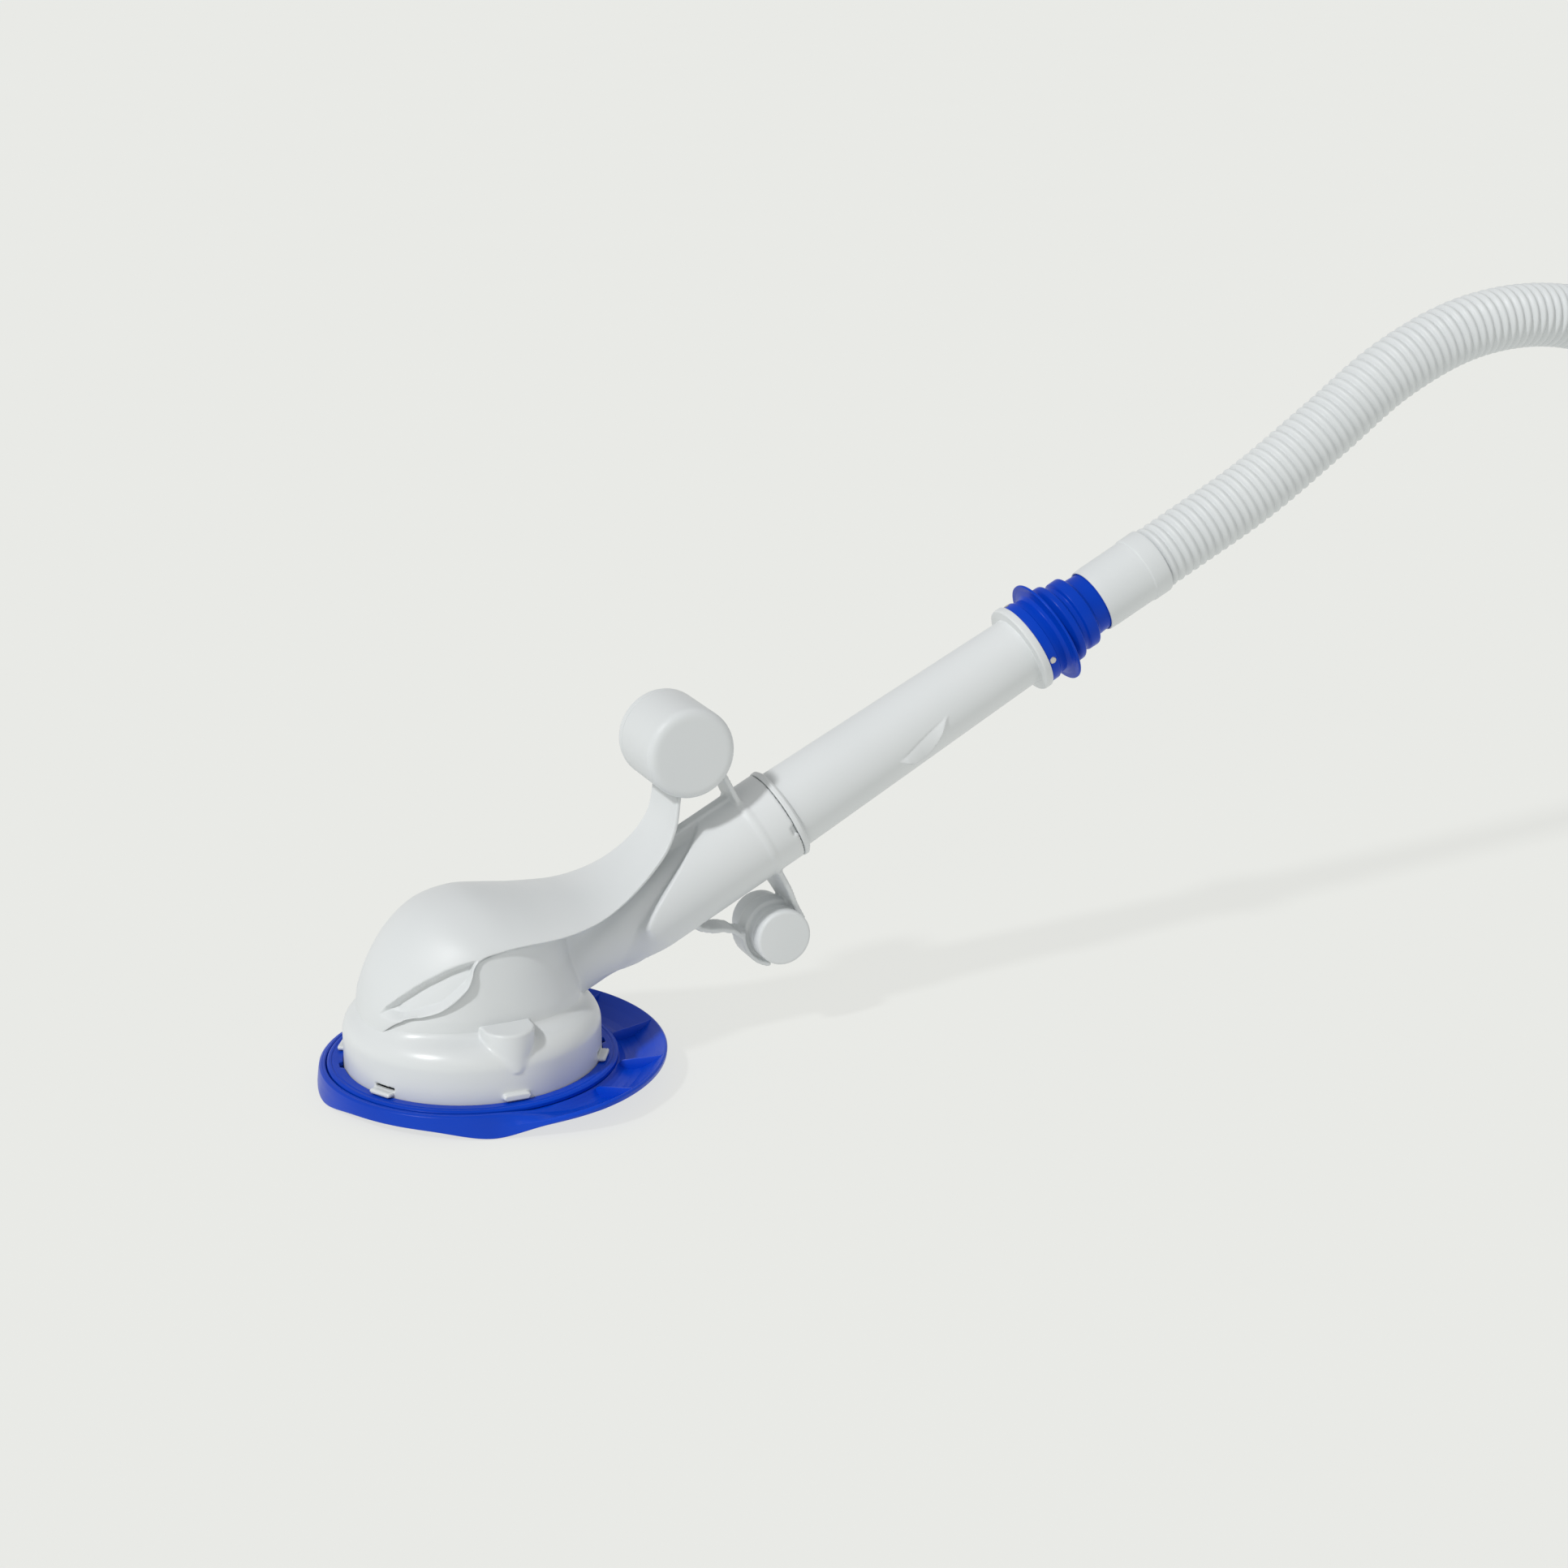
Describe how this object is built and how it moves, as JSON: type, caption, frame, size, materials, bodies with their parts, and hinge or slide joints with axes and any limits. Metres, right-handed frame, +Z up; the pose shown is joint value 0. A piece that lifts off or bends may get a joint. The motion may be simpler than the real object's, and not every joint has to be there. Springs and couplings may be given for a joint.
{
  "type": "pool cleaner",
  "caption": "Suction pool cleaner: domed white body on a blue flexible disc, slanted tube with a float above and a ballast pod below, hose swivel and a free section of suction hose.",
  "frame": {"origin": "on the standing surface, in the middle of the cleaner's outline seen from above, its hose section left out", "axes": "+Z up, -Z is the foot plate's face; +X the way the tube leans, along the cleaner's length; +Y to the left of the tube seen from the body"},
  "size_m": [1.4555, 0.2333, 0.4477],
  "materials": {
    "white_shell": "gloss",
    "blue_moulding": "gloss",
    "disc_vinyl": "satin",
    "hose_plastic": "satin",
    "wear_plastic": "satin",
    "screw_steel": "satin",
    "ballast_metal": "matte",
    "seal_rubber": "matte"
  },
  "bodies": {
    "cleaner_body": {"base_shell": "white_shell", "chamber_body": "white_shell", "cowl": "white_shell", "float_shell": "white_shell", "float_cap": "white_shell", "ballast_cap": "white_shell", "ballast_slug": "ballast_metal", "foot_plate": "blue_moulding", "foot_screw_1": "screw_steel", "foot_screw_2": "screw_steel", "foot_screw_3": "screw_steel", "foot_screw_4": "screw_steel", "throat_chamber": "white_shell", "hammer_pin": "screw_steel", "inner_tube": "white_shell", "outer_tube": "white_shell", "tube_seal": "seal_rubber", "swivel_housing": "blue_moulding", "swivel_screw_1": "screw_steel", "swivel_screw_2": "screw_steel", "swivel_screw_3": "screw_steel", "swivel_washer": "wear_plastic", "hose_tube": "hose_plastic", "hose_cuff_far": "hose_plastic"},
    "disc": {"retaining_ring": "blue_moulding", "skirt_disc": "disc_vinyl"},
    "swivel": {"swivel_tail": "blue_moulding", "hose_cuff_near": "hose_plastic"},
    "hammer_flap": {"hammer": "wear_plastic"}
  },
  "joints": [
    {"name": "disc_turn", "type": "hinge", "parent": "cleaner_body", "child": "disc", "pos_m": [-0.1829, 0, 0.0125], "axis": [0, 0, 1], "continuous": true},
    {"name": "hose_swivel", "type": "hinge", "parent": "cleaner_body", "child": "swivel", "pos_m": [0.21022, 0, 0.24035], "axis": [0.887, 0, 0.4617], "continuous": true},
    {"name": "hammer_swing", "type": "hinge", "parent": "cleaner_body", "child": "hammer_flap", "pos_m": [-0.1829, 0, 0.056], "axis": [0, 1, 0], "range_deg": [-20, 20]}
  ]
}
